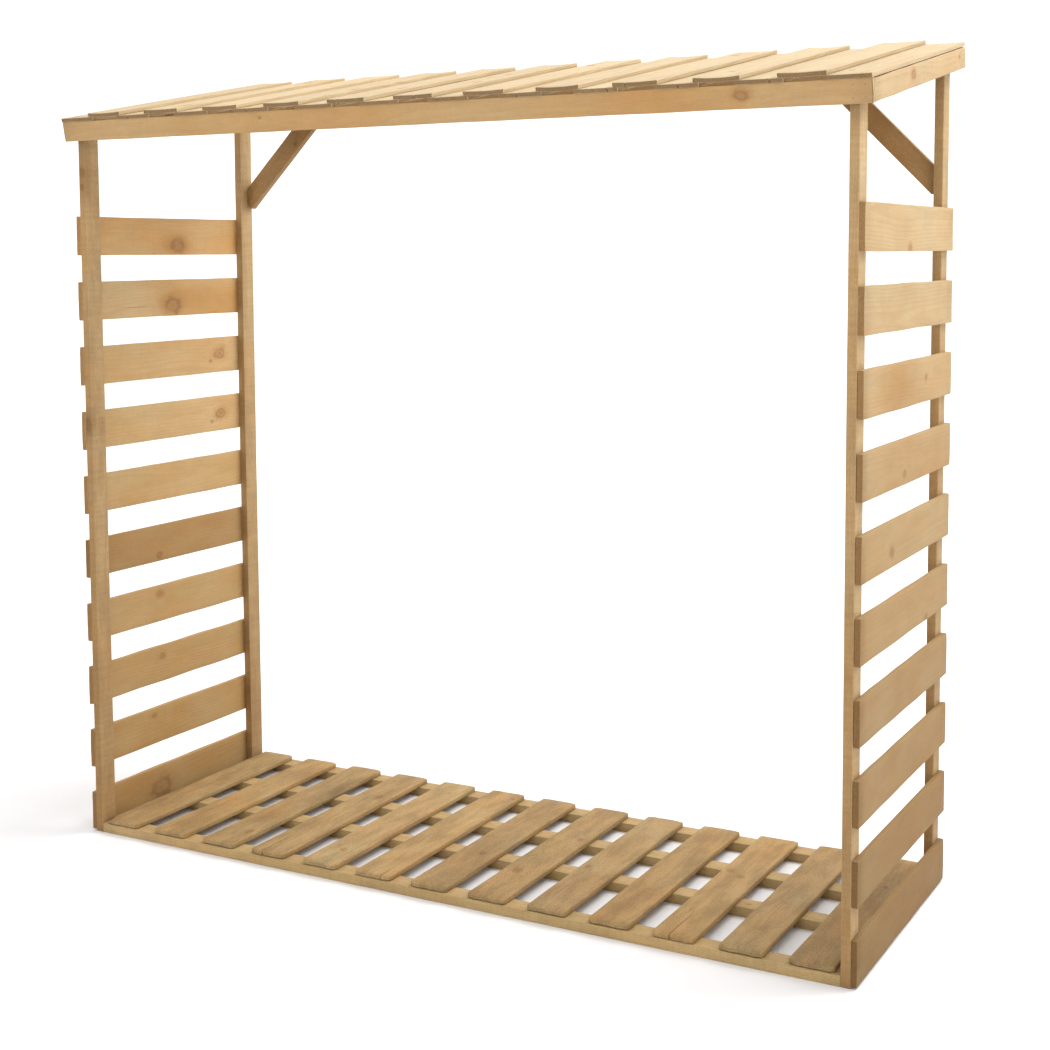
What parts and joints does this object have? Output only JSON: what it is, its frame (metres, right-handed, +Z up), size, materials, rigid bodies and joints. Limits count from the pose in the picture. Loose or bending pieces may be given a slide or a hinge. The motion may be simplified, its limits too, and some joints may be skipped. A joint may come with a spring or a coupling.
{
  "type": "log store",
  "caption": "Open-fronted timber log store with slatted sides, a slatted floor, corner braces and a lean-to roof of overlapping boards.",
  "frame": {"origin": "on the ground, under the middle of the bounding box", "axes": "+X to the right along the front, +Y from the front to the back, +Z up"},
  "size_m": [1.956, 0.6822, 1.86],
  "materials": {
    "post_wood": "matte",
    "bearer_wood": "matte",
    "floor_wood": "matte",
    "fascia_wood": "matte",
    "rail_wood": "matte",
    "roof_wood": "matte",
    "brace_wood": "matte",
    "side_slat_wood": "matte"
  },
  "bodies": {
    "root": {"front_left_post": "post_wood", "front_right_post": "post_wood", "back_left_post": "post_wood", "back_right_post": "post_wood", "floor_front_bearer": "bearer_wood", "floor_second_bearer": "bearer_wood", "floor_third_bearer": "bearer_wood", "floor_back_bearer": "bearer_wood", "floor_slats": "floor_wood", "roof_fascia": "fascia_wood", "roof_left_rail": "rail_wood", "roof_right_rail": "rail_wood", "roof_middle_rail": "rail_wood", "roof_back_rail": "rail_wood", "roof_lower_boards": "roof_wood", "roof_upper_boards": "roof_wood", "left_brace": "brace_wood", "right_brace": "brace_wood", "left_slat_1": "side_slat_wood", "left_slat_2": "side_slat_wood", "left_slat_3": "side_slat_wood", "left_slat_4": "side_slat_wood", "left_slat_5": "side_slat_wood", "left_slat_6": "side_slat_wood", "left_slat_7": "side_slat_wood", "left_slat_8": "side_slat_wood", "left_slat_9": "side_slat_wood", "left_slat_10": "side_slat_wood", "right_slat_1": "side_slat_wood", "right_slat_2": "side_slat_wood", "right_slat_3": "side_slat_wood", "right_slat_4": "side_slat_wood", "right_slat_5": "side_slat_wood", "right_slat_6": "side_slat_wood", "right_slat_7": "side_slat_wood", "right_slat_8": "side_slat_wood", "right_slat_9": "side_slat_wood", "right_slat_10": "side_slat_wood"}
  },
  "joints": []
}
